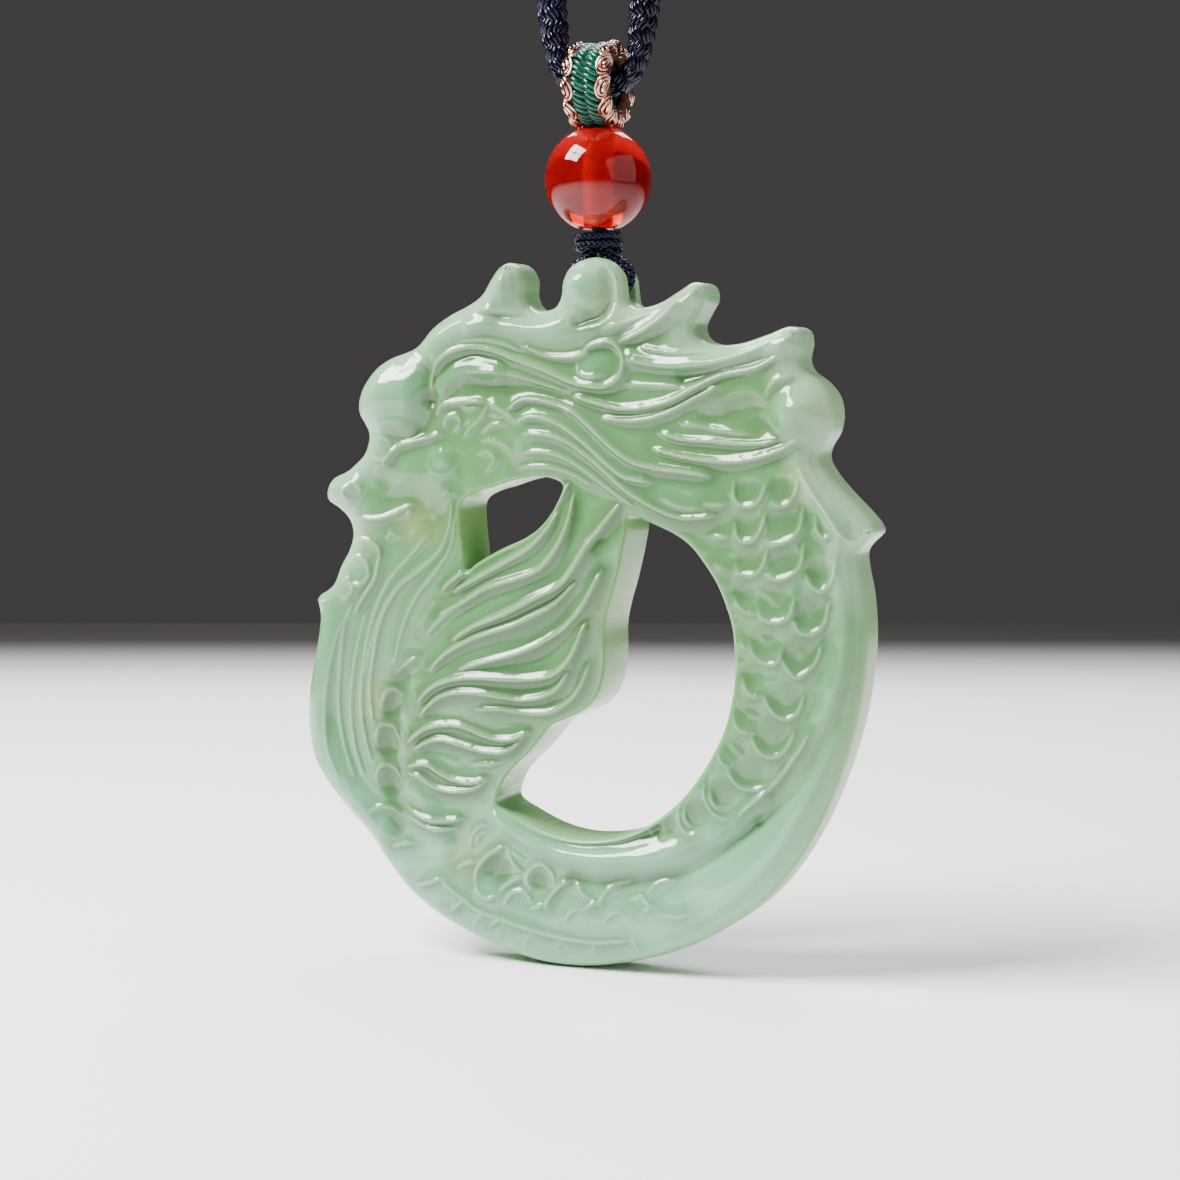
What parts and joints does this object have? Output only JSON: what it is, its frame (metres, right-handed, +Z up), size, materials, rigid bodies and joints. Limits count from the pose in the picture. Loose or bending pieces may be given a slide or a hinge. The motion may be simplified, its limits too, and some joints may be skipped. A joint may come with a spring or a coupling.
{
  "type": "jade dragon pendant on a corded neck loop",
  "caption": "Pierced jade dragon carving hung by a thin cord from a red bead and a wrapped bail on a braided neck loop.",
  "frame": {"origin": "top inside of the neck loop, where it hangs on the back of the neck", "axes": "+Z up, -Y towards the viewer of the front face, +X to the viewer's right; the loop and the pendant lie in the XZ plane"},
  "size_m": [0.1226, 0.0082, 0.3651],
  "materials": {
    "jade": "polished, translucent pale green",
    "red_stone": "polished, translucent red",
    "green_thread": "glossy wound thread",
    "gold_thread": "shiny looped metallic thread",
    "thin_cord": "waxed navy thread",
    "braided_cord": "glossy navy-black round braid"
  },
  "bodies": {
    "neck_loop": {"neck_cord": "braided_cord"},
    "drop": {"jade_dragon": "jade", "red_bead": "red_stone", "bail_wrap": "green_thread", "bail_edging_left": "gold_thread", "bail_edging_right": "gold_thread", "pendant_cord": "thin_cord", "cord_binding": "thin_cord"}
  },
  "joints": [
    {"name": "pendant_swing", "type": "hinge", "parent": "neck_loop", "child": "drop", "pos_m": [0, 0, -0.2947], "axis": [1, 0, 0], "range_deg": [-75, 75]}
  ]
}
